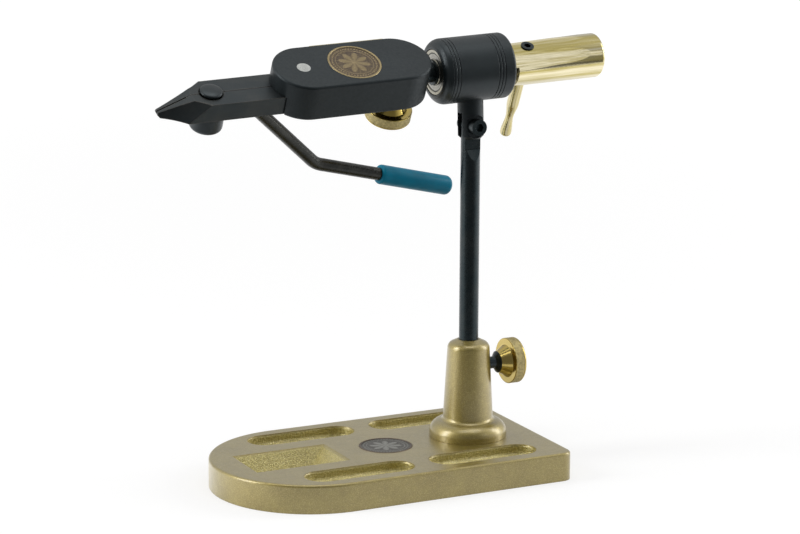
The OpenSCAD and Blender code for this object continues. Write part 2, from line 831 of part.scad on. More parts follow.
module front_bearing_outer() {
    color([0.80, 0.80, 0.82])
        race_ring(front_face_x, race_r, race_r - outer_race_t);
}

module front_bearing_inner() {
    color([0.80, 0.80, 0.82])
        race_ring(front_face_x, spindle_r + inner_race_t, spindle_r + press_gap);
}

module front_bearing_balls() {
    bearing_balls(front_face_x);
}

module front_bearing_shield() {
    bearing_shield(front_face_x + shield_inset);
}

module rear_bearing_outer() {
    color([0.80, 0.80, 0.82])
        race_ring(rear_face_x - bearing_w, race_r, race_r - outer_race_t);
}

module rear_bearing_inner() {
    color([0.80, 0.80, 0.82])
        race_ring(rear_face_x - bearing_w, spindle_r + inner_race_t, spindle_r + press_gap);
}

module rear_bearing_balls() {
    bearing_balls(rear_face_x - bearing_w);
}

module rear_bearing_shield() {
    bearing_shield(rear_face_x - shield_inset - shield_t);
}

module bearing_spacer() {
    color([0.6, 0.6, 0.62])
        in_drum()
            difference() {
                bar_x(front_face_x + bearing_w, rear_face_x - bearing_w, spindle_r + spacer_t);
                bar_x(-drum_d, drum_d, spindle_r + press_gap);
            }
}

module spindle() {
    color([0.13, 0.13, 0.14])
        in_drum()
            union() {
                bar_x(body_rear_x - spindle_in_body, sleeve_bore_end - bore_end_room, spindle_r);
                bar_x(front_face_x - collar_w, front_face_x, collar_r);
            }
}

module friction_washer() {
    color([0.45, 0.30, 0.18])
        in_drum()
            difference() {
                bar_x(rear_face_x, rear_face_x + washer_t, race_r - washer_edge);
                bar_x(0, sleeve_end, spindle_r + inner_race_t + washer_room);
            }
}

module drag_nut() {
    color([0.80, 0.70, 0.38])
        in_head()
            difference() {
                bar_x(nut_x, nut_x + nut_t, drag_nut_r);
                bar_x(0, sleeve_end, spindle_r + run_gap);
            }
}

// Share of the turning handle's radius at a share of its length
function handle_share(t) =
    t < handle_plain_share ? 1
    : t < waist_at_share ? 1 - (1 - neck_share) / 2 *
        (1 - cos(180 * (t - handle_plain_share) / (waist_at_share - handle_plain_share)))
    : neck_share + (end_share - neck_share) / 2 *
        (1 - cos(180 * (t - waist_at_share) / (1 - waist_at_share)));

module turning_handle() {
    straight = turn_handle_len - end_round;
    color([0.80, 0.70, 0.38])
        in_head()
            translate([set_screw_x, 0, 0])
                rotate([180, 0, 0])
                    rotate_extrude()
                        polygon(concat([[0, spindle_r + handle_root], [turn_handle_r, spindle_r + handle_root]],
                            [for (i = [0:handle_steps])
                                [turn_handle_r * handle_share(i / handle_steps),
                                    sleeve_r + straight * i / handle_steps]],
                            arc([turn_handle_r * end_share - end_round, sleeve_r + straight],
                                end_round, 0, 90),
                            [[0, sleeve_r + turn_handle_len]]));
}

// The notch in the sleeve's front, where fingers reach the drag nut
module sleeve_notch() {
    reach = sleeve_d;
    translate([sleeve_x - overrun, 0, 0])
        rotate([0, 90, 0])
            linear_extrude(notch_x - sleeve_x + overrun)
                polygon(concat([[0, 0]],
                    arc([0, 0], reach, -notch_half_angle, notch_half_angle)));
}

module rotary_sleeve() {
    color([0.83, 0.76, 0.52])
        in_head()
            difference() {
                turned_x(concat([[spindle_r + press_gap, sleeve_x], [sleeve_r - sleeve_front_edge, sleeve_x],
                        [sleeve_r, sleeve_x + sleeve_front_edge]],
                    arc([sleeve_r - sleeve_edge_r, sleeve_end - sleeve_edge_r], sleeve_edge_r, 0, 90),
                    [[0, sleeve_end], [0, sleeve_bore_end], [spindle_r + press_gap, sleeve_bore_end]]));
                bar_x(sleeve_x - overrun, notch_x, drag_nut_r + free_gap);
                sleeve_notch();
                for (turn = flats_used)
                    rotate([turn * 360 / flat_count, 0, 0])
                        rotate([90, 0, 0])
                            linear_extrude(sleeve_d, center = true)
                                polygon(concat([[sleeve_x - overrun, flat_front_r]],
                                    arc([flat_end_x, flat_r + flat_run_r], flat_run_r, -90,
                                        flat_run_angle - 90),
                                    [[flat_end_x + flat_run_len, sleeve_d],
                                        [sleeve_x - overrun, sleeve_d]]));
                translate([set_screw_x, 0, 0])
                    cylinder(h = sleeve_d, r = set_screw_r + press_gap);
                translate([set_screw_x, 0, -sleeve_d])
                    cylinder(h = sleeve_d, r = turn_handle_r + press_gap);
            }
}

module sleeve_set_screw() {
    color([0.07, 0.07, 0.08])
        in_head()
            translate([set_screw_x, 0, spindle_r + press_gap])
                difference() {
                    cylinder(h = flat_front_r + set_screw_proud - spindle_r, r = set_screw_r);
                    translate([0, 0, set_screw_floor])
                        cylinder(h = sleeve_d, r = set_screw_r * hex_share, $fn = 6);
                }
}

module head_body() {
    color([0.14, 0.15, 0.17])
        in_head()
            difference() {
                translate([(body_front_x + body_rear_x) / 2, 0, body_low])
                    stadium(body_len, body_w, body_t, body_edge_r, body_edge_r);
                translate([body_front_x - overrun, -jaw_half - cavity_side, body_low - overrun])
                    cube([tail_x + cavity_end - body_front_x + overrun, jaw_w + cavity_side * 2,
                        jaw_rise + cavity_top - body_low + overrun]);
                bar_x(body_rear_x - spindle_in_body - cavity_end, body_rear_x + overrun,
                    spindle_r + run_gap);
                translate([clamp_x, 0, body_low - overrun])
                    cylinder(h = overrun - body_low, r = body_screw_d / 2 + run_gap);
                translate([jaw_pin_x, 0, 0])
                    cylinder(h = body_rise + overrun, r = jaw_pin_d / 2 + press_gap);
                translate([jaw_pin_x + head_badge_x, 0, body_rise + badge_proud - badge_t])
                    cylinder(h = badge_t + overrun, r = head_badge_d / 2 + badge_gap);
                for (side = [-1, 1])
                    translate([plate_mid_x + side * rivet_x, body_r - rivet_len, plate_mid_n])
                        rotate([-90, 0, 0])
                            cylinder(h = body_r, r = rivet_r + press_gap);
            }
}

module head_badge() {
    color([0.55, 0.45, 0.32])
        in_head()
            translate([jaw_pin_x + head_badge_x, 0, body_rise + badge_proud - badge_t])
                inlay(head_badge_d);
}

module side_plate() {
    color([0.83, 0.72, 0.50])
        in_head()
            translate([plate_mid_x - plate_len / 2, body_r, plate_mid_n - plate_h / 2])
                difference() {
                    cube([plate_len, plate_t, plate_h]);
                    for (side = [-1, 1])
                        translate([plate_len / 2 + side * rivet_x, -overrun, plate_h / 2])
                            rotate([-90, 0, 0])
                                cylinder(h = plate_t + overrun * 2, r = rivet_r + press_gap);
                }
}

module side_plate_rivets() {
    color([0.78, 0.66, 0.42])
        in_head()
            for (side = [-1, 1])
                translate([plate_mid_x + side * rivet_x, body_r, plate_mid_n])
                    rotate([-90, 0, 0])
                        rotate_extrude()
                            polygon([[0, press_gap - rivet_len], [rivet_r, press_gap - rivet_len],
                                [rivet_r, plate_t], [rivet_head_r, plate_t],
                                [rivet_head_r * rivet_top_share, plate_t + rivet_head_h],
                                [0, plate_t + rivet_head_h]]);
}

module jaw_pin() {
    color([0.78, 0.78, 0.76])
        in_head()
            translate([jaw_pin_x, 0, 0])
                union() {
                    translate([0, 0, jaw_low + pin_head_h])
                        cylinder(h = body_rise - jaw_low - pin_head_h, r = jaw_pin_d / 2);
                    translate([0, 0, jaw_low])
                        cylinder(h = pin_head_h, r = pin_head_r);
                }
}

// Radius of the cone pin at a height
function cone_r(n) = cone_low_r + cone_slope * (n - cone_low_n);

// One jaw's solid on the far side (+Y), before its knuckle
module jaw_blank() {
    difference() {
        translate([0, jaw_half, 0])
            rotate([90, 0, 0])
                linear_extrude(jaw_half - seam)
                    polygon(concat(
                        [[tail_x, jaw_low], [tail_x, jaw_rise], [slope_x, jaw_rise],
                            [nose_x + nose_edge, jaw_low + nose_h]],
                        arc([nose_x + nose_edge, jaw_low + nose_h - nose_edge], nose_edge, 90, 180),
                        [[nose_x, jaw_low + nose_edge], [nose_x + nose_edge, jaw_low]]));
        // hollow-ground flank of the nose
        translate([shoulder_x, 0, jaw_rise])
            rotate([0, flank_lean, 0])
                translate([-flank_centre_p, flank_centre_m, -jaw_reach])
                    cylinder(h = jaw_reach * 2, r = flank_r);
        // seam relief along the sloped top
        translate([nose_x + nose_edge, seam + relief_w, jaw_low + nose_h])
            rotate([0, -slope_angle, 0])
                translate([-nose_h, -relief_w - overrun, -relief_depth])
                    cube([relief_len + nose_h, relief_w + overrun, relief_depth * 2]);
        // bevel along the seam, behind the slope
        translate([slope_x, 0, jaw_rise])
            rotate([90, 0, 90])
                linear_extrude(tail_x - slope_x + overrun)
                    polygon([[0, -seam_edge], [seam, -seam_edge], [seam + seam_edge, 0],
                        [seam + seam_edge, overrun], [0, overrun]]);
        // room between the tails, behind the jaw pin
        translate([jaw_pin_x, 0, jaw_low - overrun])
            cube([tail_len + overrun, tail_gap, jaw_h + overrun * 2]);
        // groove for the lever's front arm
        translate([groove_front_x, 0, jaw_low - overrun])
            cube([groove_end_x - groove_front_x, groove_half, groove_top - jaw_low + overrun]);
        // pocket for the lever's eye and the cap's hub
        translate([cone_pin_x, 0, jaw_low - overrun])
            cylinder(h = eye_room_top - jaw_low + overrun, r = eye_r + eye_gap);
        // seats for the cone and for the button
        translate([cone_pin_x - button_d / 2, 0, 0])
            rotate([90, 0, 90])
                linear_extrude(button_d)
                    polygon([[0, eye_room_top - overrun], [cone_r(eye_room_top - overrun) + cone_gap,
                            eye_room_top - overrun],
                        [cone_r(button_floor) + cone_gap, button_floor],
                        [cone_r(button_floor) + cone_gap, button_floor + overrun], [0, button_floor + overrun]]);
        translate([cone_pin_x, 0, button_floor])
            cylinder(h = jaw_h, r = button_d / 2 + button_gap);
        // blind hole for the lever's pin
        translate([pivot_s, -overrun, lever_n])
            rotate([-90, 0, 0])
                cylinder(h = lever_pin_half + pin_room + overrun, r = lever_pin_r + pin_room);
        // pocket for the spring
        translate([spring_x, 0, spring_n])
            rotate([-90, 0, 0])
                cylinder(h = spring_half + spring_room, r = spring_r + spring_wire_d / 2 + spring_room);
    }
}

// A jaw on the far side whose knuckle lies between two heights
module jaw(knuckle_low, knuckle_high) {
    difference() {
        union() {
            difference() {
                jaw_blank();
                translate([jaw_pin_x, 0, jaw_low - overrun])
                    cylinder(h = jaw_h + overrun * 2, r = knuckle_r + knuckle_gap);
            }
            translate([jaw_pin_x, 0, knuckle_low])
                cylinder(h = knuckle_high - knuckle_low, r = knuckle_r);
            // web between the knuckle and the jaw
            translate([jaw_pin_x - knuckle_r, knuckle_web, knuckle_low])
                cube([knuckle_r * 2, knuckle_r, knuckle_high - knuckle_low]);
        }
        translate([jaw_pin_x, 0, jaw_low - overrun])
            cylinder(h = jaw_h + overrun * 2, r = jaw_pin_d / 2 + run_gap);
        translate([jaw_pin_x, 0, jaw_low - overrun])
            cylinder(h = pin_head_h + overrun + run_gap, r = pin_head_r + run_gap);
    }
}

module jaw_far() {
    color([0.15, 0.16, 0.17])
        in_head()
            jaw(knuckle_split + seat_gap / 2, jaw_rise);
}

module jaw_near() {
    color([0.15, 0.16, 0.17])
        in_head()
            mirror([0, 1, 0])
                jaw(jaw_low + pin_head_h + run_gap, knuckle_split - seat_gap / 2);
}

// Point of the spring's wire: its middle line runs along Y, u goes from 0 to 1
function coil_point(u) = [spring_r * cos(360 * spring_turns * u),
    (spring_half - spring_wire_d / 2) * (2 * u - 1), spring_r * sin(360 * spring_turns * u)];

module jaw_spring() {
    steps = spring_turns * spring_rings;
    points = [for (i = [0:steps], j = [0:spring_sides - 1])
        let (u = i / steps, c = coil_point(u), turn = 360 * spring_turns * u,
            a = 360 * j / spring_sides, w = spring_wire_d / 2)
        c + w * [cos(a) * cos(turn), sin(a), cos(a) * sin(turn)]];
    sides = [for (i = [0:steps - 1], j = [0:spring_sides - 1])
        let (k = (j + 1) % spring_sides, p = i * spring_sides, q = p + spring_sides)
        each [[p + j, q + j, q + k], [p + j, q + k, p + k]]];
    first = [for (j = [1:spring_sides - 2]) [0, j, j + 1]];
    end = steps * spring_sides;
    last = [for (j = [1:spring_sides - 2]) [end, end + j + 1, end + j]];
    color([0.6, 0.6, 0.62])
        in_head()
            translate([spring_x, 0, spring_n])
                polyhedron(points = points, faces = concat(sides, first, last));
}

module cone_pin() {
    color([0.24, 0.25, 0.27])
        in_head()
            translate([cone_pin_x, 0, 0])
                rotate_extrude()
                    polygon(concat([[0, cap_low + cap_floor], [cone_low_r, cap_low + cap_floor],
                            [cone_low_r, cone_low_n], [cone_r(button_n), button_n], [button_d / 2, button_n],
                            [button_d / 2, button_n + button_rim_h]],
                        [for (i = [1:arc_steps])
                            [button_d / 2 * cos(90 * i / arc_steps),
                                button_n + button_rim_h + button_dome_h * sin(90 * i / arc_steps)]]));
}

module cone_pin_cap() {
    color([0.20, 0.22, 0.26])
        in_head()
            translate([cone_pin_x, 0, 0])
                difference() {
                    rotate_extrude()
                        polygon(concat([[0, cap_low]],
                            arc([cap_d / 2 - cap_edge, cap_low + cap_edge], cap_edge, -90, 0),
                            [[cap_d / 2, cap_top - cap_top_edge], [cap_d / 2 - cap_top_edge, cap_top],
                                [hub_r, cap_top], [hub_r, hub_top], [0, hub_top]]));
                    translate([0, 0, cap_low + cap_floor])
                        cylinder(h = jaw_reach, r = cone_low_r + press_gap);
                }
}

// A bent stretch of rod that starts at the origin along +X and turns down;
// what follows it is placed at its end
module bend(radius, angle) {
    translate([0, 0, -radius])
        rotate([-90, -90, 0])
            rotate_extrude(angle = angle)
                translate([radius, 0])
                    circle(r = rod_d / 2 - bend_slack);
    translate([radius * sin(angle), 0, radius * (cos(angle) - 1)])
        rotate([0, angle, 0])
            children();
}

// Places what follows at the start of the handle stretch
module at_handle() {
    translate([pivot_s + bend_r * sin(lever_steep), 0, lever_n - bend_r * (1 - cos(lever_steep))])
        rotate([0, lever_steep, 0])
            translate([steep_len + handle_bend_r * sin(handle_turn), 0,
                    handle_bend_r * (1 - cos(handle_turn))])
                rotate([0, -handle_turn, 0])
                    children();
}

module lever_rod() {
    rod_r = rod_d / 2;
    color([0.17, 0.17, 0.16])
        in_head()
            difference() {
                union() {
                    translate([pivot_s, 0, lever_n]) {
                        bar_x(arm_start_x - pivot_s, bend_lap, rod_r);
                        bend(bend_r, lever_steep)
                            rotate([180, 0, 0]) {
                                bar_x(-bend_lap, steep_len + bend_lap, rod_r);
                                translate([steep_len, 0, 0])
                                    bend(handle_bend_r, handle_turn)
                                        bar_x(-bend_lap, handle_straight - grip_cap, rod_r);
                            }
                    }
                    translate([cone_pin_x, 0, lever_n - eye_t / 2])
                        cylinder(h = eye_t, r = eye_r);
                    translate([cone_pin_x, -neck_half, lever_n - eye_t / 2])
                        cube([arm_start_x - cone_pin_x, neck_half * 2, eye_t]);
                }
                translate([cone_pin_x, 0, lever_n - rod_d])
                    cylinder(h = rod_d * 2, r = eye_hole_r);
                translate([pivot_s, rod_d, lever_n])
                    rotate([90, 0, 0])
                        cylinder(h = rod_d * 2, r = lever_pin_r + press_gap);
            }
}

module lever_pin() {
    color([0.7, 0.7, 0.7])
        in_head()
            translate([pivot_s, lever_pin_half, lever_n])
                rotate([90, 0, 0])
                    cylinder(h = lever_pin_half * 2, r = lever_pin_r);
}

module lever_grip() {
    start = handle_straight - grip_len;
    color([0.05, 0.38, 0.50])
        in_head()
            at_handle()
                difference() {
                    turned_x(concat([[0, start]],
                        arc([grip_d / 2 - grip_edge_r / 2, start + grip_edge_r / 2], grip_edge_r / 2, -90, 0),
                        arc([grip_d / 2 - grip_edge_r, handle_straight - grip_edge_r], grip_edge_r, 0, 90),
                        [[0, handle_straight]]));
                    bar_x(start - overrun, handle_straight - grip_cap + press_gap, rod_d / 2 + press_gap);
                }
}

module body_clamp_screw() {
    color([0.12, 0.12, 0.13])
        in_head()
            translate([clamp_x, 0, body_knob_n - stud_len])
                cylinder(h = -spindle_r - seat_gap - body_knob_n + stud_len, r = body_screw_d / 2);
}

module body_clamp_knob() {
    color([0.82, 0.72, 0.30])
        in_head()
            translate([clamp_x, 0, body_knob_n])
                mirror([0, 0, 1])
                    thumb_knob(body_neck_len, body_screw_d / 2);
}

base_plate();
base_badge();
pedestal();
pedestal_screws();
post_bush();
post_clamp_screw();
post_clamp_knob();
post();
tilt_fork();
tilt_bolt();
tilt_nut();
drum_housing();
front_bearing_outer();
front_bearing_inner();
front_bearing_balls();
front_bearing_shield();
rear_bearing_outer();
rear_bearing_inner();
rear_bearing_balls();
rear_bearing_shield();
bearing_spacer();
spindle();
friction_washer();
drag_nut();
turning_handle();
rotary_sleeve();
sleeve_set_screw();
head_body();
head_badge();
side_plate();
side_plate_rivets();
jaw_pin();
jaw_far();
jaw_near();
jaw_spring();
cone_pin();
cone_pin_cap();
lever_rod();
lever_pin();
lever_grip();
body_clamp_screw();
body_clamp_knob();
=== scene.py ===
# Looks of the rotary fly tying vise: materials, finer pieces, light and camera
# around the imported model. Lengths are in millimetres until a mesh is made.
import json
import math

import bmesh
import bpy
from mathutils import Matrix, Vector

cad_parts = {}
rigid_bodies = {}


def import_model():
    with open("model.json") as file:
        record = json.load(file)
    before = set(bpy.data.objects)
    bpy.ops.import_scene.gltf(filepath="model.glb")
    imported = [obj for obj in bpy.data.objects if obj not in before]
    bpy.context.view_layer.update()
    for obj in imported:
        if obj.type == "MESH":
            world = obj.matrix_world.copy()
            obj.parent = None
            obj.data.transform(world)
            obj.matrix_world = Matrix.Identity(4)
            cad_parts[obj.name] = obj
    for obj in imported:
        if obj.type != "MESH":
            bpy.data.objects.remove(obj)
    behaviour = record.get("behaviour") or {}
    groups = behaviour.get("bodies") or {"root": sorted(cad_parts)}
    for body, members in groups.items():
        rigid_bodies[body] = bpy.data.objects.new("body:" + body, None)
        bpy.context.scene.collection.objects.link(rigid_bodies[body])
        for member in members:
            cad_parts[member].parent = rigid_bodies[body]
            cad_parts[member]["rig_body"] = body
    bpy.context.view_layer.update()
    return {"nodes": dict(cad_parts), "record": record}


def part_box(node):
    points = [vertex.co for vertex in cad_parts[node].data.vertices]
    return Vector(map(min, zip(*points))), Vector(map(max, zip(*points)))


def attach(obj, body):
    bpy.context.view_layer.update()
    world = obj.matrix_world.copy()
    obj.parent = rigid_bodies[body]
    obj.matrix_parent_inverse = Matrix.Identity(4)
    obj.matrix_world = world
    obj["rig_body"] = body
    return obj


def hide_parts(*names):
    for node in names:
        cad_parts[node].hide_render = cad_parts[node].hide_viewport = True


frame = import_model()

MM = 0.001
NODES = frame["nodes"]

# Rest position of the head, as in the part's source
REST_TILT = math.radians(1.8)
REST_ROLL = math.radians(27.2)
TILT_Z = 169.4
AXIS_RISE = 27.68
UP = Vector((0, 0, 1))
SIDE = Vector((0, 1, 0))
REAR = Vector((1, 0, 0))
ALONG = Vector((math.cos(REST_TILT), 0, math.sin(REST_TILT)))
DRUM_UP = Vector((-math.sin(REST_TILT), 0, math.cos(REST_TILT)))
HEAD_SIDE = SIDE * math.cos(REST_ROLL) + DRUM_UP * math.sin(REST_ROLL)
HEAD_UP = DRUM_UP * math.cos(REST_ROLL) - SIDE * math.sin(REST_ROLL)
AXIS_POINT = Vector((0, 0, TILT_Z)) + DRUM_UP * AXIS_RISE

# Places on the head, from the part's source: along its axis, and out from that axis
BODY_REAR = -24.2
JAW_PIN = BODY_REAR - 65.5
HEAD_BADGE = JAW_PIN + 26.2
CONE_PIN = JAW_PIN - 45.4
CLAMP = BODY_REAR - 15.3
BODY_T = 19.05
BODY_TOP = 11.1
BODY_LOW = BODY_TOP - BODY_T
SHIELD_CRIMP = 8.7

# Places on the base and the stand, from the part's source
BASE_REAR = 32.8
BASE_LENGTH = 167.5
BASE_R = 49.5
BASE_TOP = 14
BASE_BADGE = -45.2
ROUND_X = BASE_REAR - BASE_LENGTH + BASE_R
CLAMP_Z = 49.4

# Inlays: thickness, width of the rim, depth of the field below it, and height above the surface
BADGE_T = 1.1
BADGE_RIM = 1.0
BADGE_DROP = 0.3
BADGE_PROUD = 0.15


def head_point(s, m, n):
    """A point of the head in the row frame, in millimetres."""
    return AXIS_POINT + ALONG * s + HEAD_SIDE * m + HEAD_UP * n


CAP_POINT = head_point(CONE_PIN, 0, 0)
CLAMP_POINT = head_point(CLAMP, 0, 0)
KNOB_POINT = Vector((0, 0, CLAMP_Z))
HEAD_FIELD = head_point(HEAD_BADGE, 0, BODY_TOP + BADGE_PROUD - BADGE_DROP)
BASE_FIELD = Vector((BASE_BADGE, 0, BASE_TOP + BADGE_PROUD - BADGE_DROP))


class Nodes:
    """A node tree, and short calls that add nodes to it."""

    def __init__(self, tree):
        self.tree = tree

    def add(self, kind):
        return self.tree.nodes.new(kind)

    def feed(self, socket, value):
        if isinstance(value, bpy.types.NodeSocket):
            self.tree.links.new(value, socket)
        else:
            socket.default_value = value

    def coordinates(self, kind):
        return self.add("ShaderNodeTexCoord").outputs[kind]

    def place(self):
        """Object coordinates, in metres."""
        return self.coordinates("Object")

    def maths(self, kind, *values):
        node = self.add("ShaderNodeMath")
        node.operation = kind
        for socket, value in zip(node.inputs, values):
            self.feed(socket, value)
        return node.outputs[0]

    def vector(self, kind, *values):
        node = self.add("ShaderNodeVectorMath")
        node.operation = kind
        for socket, value in zip(node.inputs, values):
            self.feed(socket, value)
        return node.outputs["Value" if kind in ("DOT_PRODUCT", "LENGTH") else "Vector"]

    def join(self, x, y, z):
        node = self.add("ShaderNodeCombineXYZ")
        for socket, value in zip(node.inputs, (x, y, z)):
            self.feed(socket, value)
        return node.outputs[0]

    def split(self, value):
        node = self.add("ShaderNodeSeparateXYZ")
        self.feed(node.inputs[0], value)
        return node.outputs

    def noise(self, scale, detail=2.0, rough=0.5, at=None):
        node = self.add("ShaderNodeTexNoise")
        node.inputs["Scale"].default_value = scale
        node.inputs["Detail"].default_value = detail
        node.inputs["Roughness"].default_value = rough
        self.feed(node.inputs["Vector"], self.place() if at is None else at)
        return node.outputs["Fac"]

    def cells(self, scale):
        """A different shade of grey in each cell."""
        node = self.add("ShaderNodeTexVoronoi")
        node.inputs["Scale"].default_value = scale
        self.feed(node.inputs["Vector"], self.place())
        return self.split(node.outputs["Color"])[0]

    def spread(self, value, low, high, to_low=0.0, to_high=1.0):
        """Runs softly from to_low to to_high as the value goes from low to high."""
        node = self.add("ShaderNodeMapRange")
        node.interpolation_type = "SMOOTHSTEP"
        for socket, number in zip(node.inputs, (value, low, high, to_low, to_high)):
            self.feed(socket, number)
        return node.outputs[0]

    def mix(self, share, first, second):
        """A mix of two colours."""
        node = self.add("ShaderNodeMix")
        node.data_type = "RGBA"
        self.feed(node.inputs[0], share)
        for socket, value in ((node.inputs[6], first), (node.inputs[7], second)):
            self.feed(socket, (*value, 1) if isinstance(value, tuple) else value)
        return node.outputs[2]

    def choose(self, share, first, second):
        """A mix of two numbers."""
        node = self.add("ShaderNodeMix")
        for socket, value in ((node.inputs[0], share), (node.inputs[2], first), (node.inputs[3], second)):
            self.feed(socket, value)
        return node.outputs[0]

    def edge_normal(self, radius):
        """The surface's normal, as if its edges were rounded."""
        node = self.add("ShaderNodeBevel")
        node.samples = 4
        node.inputs["Radius"].default_value = radius * MM
        return node.outputs[0]

    def edge_share(self, rounded, strength):
        """Rises towards the edges."""
        normal = self.add("ShaderNodeNewGeometry").outputs["Normal"]
        flat = self.vector("DOT_PRODUCT", rounded, normal)
        return self.spread(flat, 1.0, 1.0 - strength)

    def bump(self, height, depth, normal=None):
        """height runs from 0 to 1 and depth is its size in millimetres."""
        node = self.add("ShaderNodeBump")
        node.inputs["Strength"].default_value = 1.0
        node.inputs["Distance"].default_value = depth * MM
        self.feed(node.inputs["Height"], height)
        if normal is not None:
            self.feed(node.inputs["Normal"], normal)
        return node.outputs[0]


class Finish(Nodes):
    """A Principled material."""

    def __init__(self, name, color, metallic, rough, **sockets):
        self.mat = bpy.data.materials.new(name)
        self.mat.use_nodes = True
        super().__init__(self.mat.node_tree)
        self.bsdf = self.tree.nodes["Principled BSDF"]
        self.set("Base Color", (*color, 1))
        self.set("Metallic", metallic)
        self.set("Roughness", rough)
        for socket, value in sockets.items():
            self.set(socket.replace("_", " "), value)

    def set(self, socket, value):
        self.feed(self.bsdf.inputs[socket], value)


def tinted(color, share):
    return tuple(c * share for c in color)


def polar(finish, origin, axis):
    """Height along an axis and distance from it, in metres."""
    at = finish.vector("SUBTRACT", finish.place(), tuple(origin * MM))
    along = finish.vector("DOT_PRODUCT", at, tuple(axis))
    foot = finish.vector("MULTIPLY", finish.join(along, along, along), tuple(axis))
    return along, finish.vector("LENGTH", finish.vector("SUBTRACT", at, foot))


def turning(finish, origin, axis, fine):
    """Noise in fine rings around an axis, as a lathe leaves them."""
    along, radius = polar(finish, origin, axis)
    return finish.noise(fine, 3.0, 0.6, finish.join(along, radius, 0.0))


def ground(finish, axis, fine, stretch):
    """Noise in fine lines along an axis, as grinding leaves them."""
    along = finish.vector("DOT_PRODUCT", finish.place(), tuple(axis))
    shorter = finish.maths("MULTIPLY", along, 1.0 - 1.0 / stretch)
    foot = finish.vector("MULTIPLY", finish.join(shorter, shorter, shorter), tuple(axis))
    return finish.noise(fine, 3.0, 0.55, finish.vector("SUBTRACT", finish.place(), foot))


# Materials. Noise scales are per metre, bump depths are in millimetres
BLUISH = (0.84, 0.95, 1.0, 1)


def painted():
    """Olive-gold metallic paint under a satin clear coat, grained in the trays and the pocket."""
    pale = (0.272, 0.208, 0.030)
    deep = (0.222, 0.164, 0.017)
    bright_flake = (0.66, 0.54, 0.20)
    dark_flake = (0.14, 0.11, 0.02)
    cast_low = (0.34, 0.28, 0.04)
    cast_high = (0.68, 0.60, 0.20)
    side_margin = 2.0
    f = Finish("champagne_finish", pale, 0.85, 0.46, Coat_Weight=1.0, Coat_Roughness=0.28, Coat_IOR=1.85)
    x, y, z = f.split(f.place())
    from_round = f.maths("MINIMUM", f.maths("SUBTRACT", x, ROUND_X * MM), 0.0)
    inside = f.vector("LENGTH", f.join(from_round, y, 0.0))
    within = f.spread(inside, (BASE_R - side_margin) * MM, (BASE_R - side_margin - 1.0) * MM)
    sunk = f.spread(z, (BASE_TOP - 0.3) * MM, (BASE_TOP - 1.2) * MM)
    grained = f.maths("MULTIPLY", within, sunk)
    coarse = f.noise(1300.0, 3.0, 0.65)
    flakes = f.cells(3800.0)
    clouds = f.noise(90.0, 3.0, 0.55)
    base = f.mix(f.spread(clouds, 0.25, 0.75), pale, deep)
    cast = f.mix(f.spread(coarse, 0.42, 0.60), cast_low, cast_high)
    base = f.mix(f.maths("MULTIPLY", grained, 0.6), base, cast)
    speckled = f.mix(f.spread(flakes, 0.55, 1.0, 0.0, 0.3), base, bright_flake)
    speckled = f.mix(f.spread(flakes, 0.25, 0.0, 0.0, 0.25), speckled, dark_flake)
    f.set("Base Color", speckled)
    f.set("Roughness", f.spread(f.noise(420.0, 2.0), 0.3, 0.7, 0.42, 0.52))
    orange_peel = f.bump(f.noise(650.0, 2.0, 0.5), 0.035, f.edge_normal(0.9))
    grit = f.bump(f.noise(2300.0, 2.0, 0.6), 0.018, orange_peel)
    bumped = f.bump(f.maths("MULTIPLY", coarse, grained), 0.45, grit)
    f.set("Normal", bumped)
    f.set("Coat Normal", bumped)
    return f.mat


def black_oxide(f, edge, patches, dull, rubbed_and_highlit, rub_and_highlight):
    """Colour of blackened metal: two dull shades in patches, paler at the edges, partly from rubbing and
    partly as a painted highlight.
    Returns the normal with rounded edges."""
    rounded = f.edge_normal(edge)
    base = f.mix(f.spread(f.noise(patches, 3.0, 0.55), 0.3, 0.7), *dull)
    # Paler edges: partly rubbing, partly a painted highlight.
    f.set("Base Color", f.mix(f.maths("MULTIPLY", f.edge_share(rounded, 0.16), rub_and_highlight), base, rubbed_and_highlit))
    return rounded


def anodised(name, origin, axis, rough=0.44):
    """Black satin anodised metal with faint turning marks around an axis."""
    f = Finish(name, (0.007, 0.010, 0.011), 0.0, rough, Specular_IOR_Level=0.45, Specular_Tint=BLUISH)
    # The last colour and share make the paler edges: partly rubbing, partly a painted highlight.
    rounded = black_oxide(f, 0.35, 90.0, ((0.003, 0.005, 0.006), (0.005, 0.008, 0.009)),
                          (0.065, 0.070, 0.074), 0.4)
    f.set("Roughness", f.spread(f.noise(900.0, 3.0, 0.6), 0.25, 0.75, rough - 0.06, rough + 0.06))
    marks = f.bump(turning(f, origin, axis, 2600.0), 0.012, rounded)
    f.set("Normal", f.bump(f.noise(3200.0, 2.0, 0.6), 0.016, marks))
    return f.mat


def blasted(name):
    """Black satin anodised metal with a fine blasted grain."""
    f = Finish(name, (0.008, 0.011, 0.012), 0.0, 0.46, Specular_IOR_Level=0.38, Specular_Tint=BLUISH)
    # The last colour and share make the paler edges: partly rubbing, partly a painted highlight.
    rounded = black_oxide(f, 0.4, 60.0, ((0.003, 0.005, 0.006), (0.006, 0.009, 0.010)),
                          (0.065, 0.071, 0.077), 0.45)
    f.set("Roughness", f.spread(f.noise(700.0, 3.0, 0.6), 0.25, 0.75, 0.42, 0.54))
    f.set("Normal", f.bump(f.noise(2900.0, 3.0, 0.65), 0.030, rounded))
    return f.mat


def black_steel(name, dark, pale):
    """Oiled black oxide on round bar: dark metal with a fine, uneven grain."""
    f = Finish(name, dark, 0.85, 0.30)
    clouds = f.noise(140.0, 4.0, 0.6)
    f.set("Base Color", f.mix(f.spread(clouds, 0.3, 0.72), dark, pale))
    f.set("Roughness", f.spread(f.noise(600.0, 3.0, 0.6), 0.25, 0.75, 0.24, 0.36))
    f.set("Normal", f.bump(f.noise(1800.0, 3.0, 0.6), 0.016, f.edge_normal(0.2)))
    return f.mat


